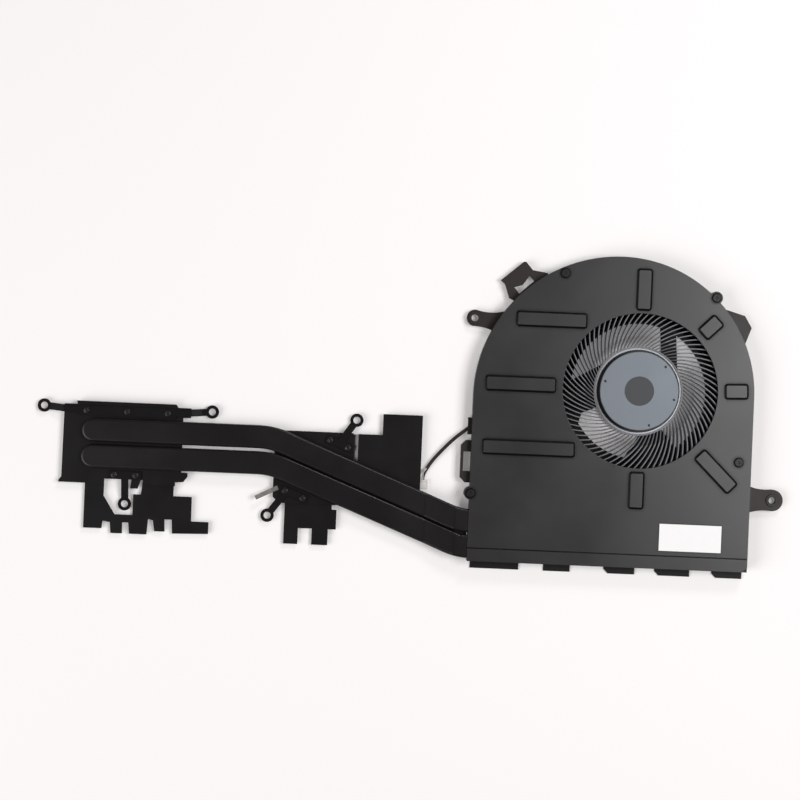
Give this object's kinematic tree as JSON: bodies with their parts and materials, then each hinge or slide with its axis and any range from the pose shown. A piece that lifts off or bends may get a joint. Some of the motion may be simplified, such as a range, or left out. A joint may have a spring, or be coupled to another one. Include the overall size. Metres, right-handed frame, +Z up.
{
  "type": "laptop cooling fan heatsink",
  "caption": "Laptop cooling module: a flat blower fan with a ribbed cover and a spinning impeller, joined by flat heat pipes to cold plates with spring arms.",
  "frame": {"origin": "on the fan's spin axis, on the underside of its base plate", "axes": "+X along the module from the processor block towards the fan's free side, +Y across it away from the fan's outlet, +Z up, from the contact faces to the cover"},
  "size_m": [0.2745, 0.116, 0.0069],
  "materials": {
    "cover_black": "satin black coated sheet",
    "base_black": "matt black coated sheet",
    "frame_plastic": "moulded black plastic",
    "blade_plastic": "moulded dark grey plastic",
    "rotor_steel": "fine turned, blue-grey",
    "disc_dark": "matt",
    "magnet": "pressed magnet",
    "steel": "ground",
    "housing_brass": "turned",
    "core_steel": "stamped sheet stack",
    "coil_copper": "enamelled copper wire",
    "board_green": "printed circuit board",
    "film_amber": "thin film",
    "screw_black": "black screw",
    "label_white": "blank paper",
    "fin_metal": "black coated fins",
    "pipe_black": "satin black coated copper",
    "plate_black": "black coated plate",
    "copper": "milled copper",
    "spring_black": "black coated spring steel",
    "rivet_black": "black coated rivet",
    "finger_metal": "thin beryllium copper, plated",
    "cable_black": "black sleeve",
    "plug_plastic": "moulded plug"
  },
  "bodies": {
    "housing": {"fan_base_plate": "base_black", "fan_frame": "frame_plastic", "fan_cover": "cover_black", "cover_screws": "screw_black", "fan_label": "label_white", "fin_stack": "fin_metal", "heat_pipe_upper": "pipe_black", "heat_pipe_lower": "pipe_black", "bearing_housing": "housing_brass", "bearing_sleeve": "housing_brass", "thrust_pad": "disc_dark", "stator_core": "core_steel", "stator_coils": "coil_copper", "motor_board": "board_green", "motor_lead": "film_amber", "fan_cable": "cable_black", "fan_plug": "plug_plastic", "cpu_cold_plate": "copper", "cpu_carrier_plate": "plate_black", "cpu_top_spring": "spring_black", "cpu_lower_spring": "spring_black", "cpu_rivets": "rivet_black", "cpu_side_sheet": "plate_black", "gpu_cold_plate": "copper", "gpu_carrier_plate": "plate_black", "gpu_upper_spring": "spring_black", "gpu_lower_spring": "spring_black", "gpu_rivets": "rivet_black", "gpu_side_sheet": "plate_black", "gpu_lower_sheet": "plate_black", "ground_finger": "finger_metal"},
    "rotor": {"impeller": "blade_plastic", "rotor_cup": "rotor_steel", "magnet_ring": "magnet", "rotor_shaft": "steel", "centre_disc": "disc_dark"}
  },
  "joints": [
    {"name": "impeller_spin", "type": "hinge", "parent": "housing", "child": "rotor", "pos_m": [0, 0, 0], "axis": [0, 0, 1], "continuous": true}
  ]
}
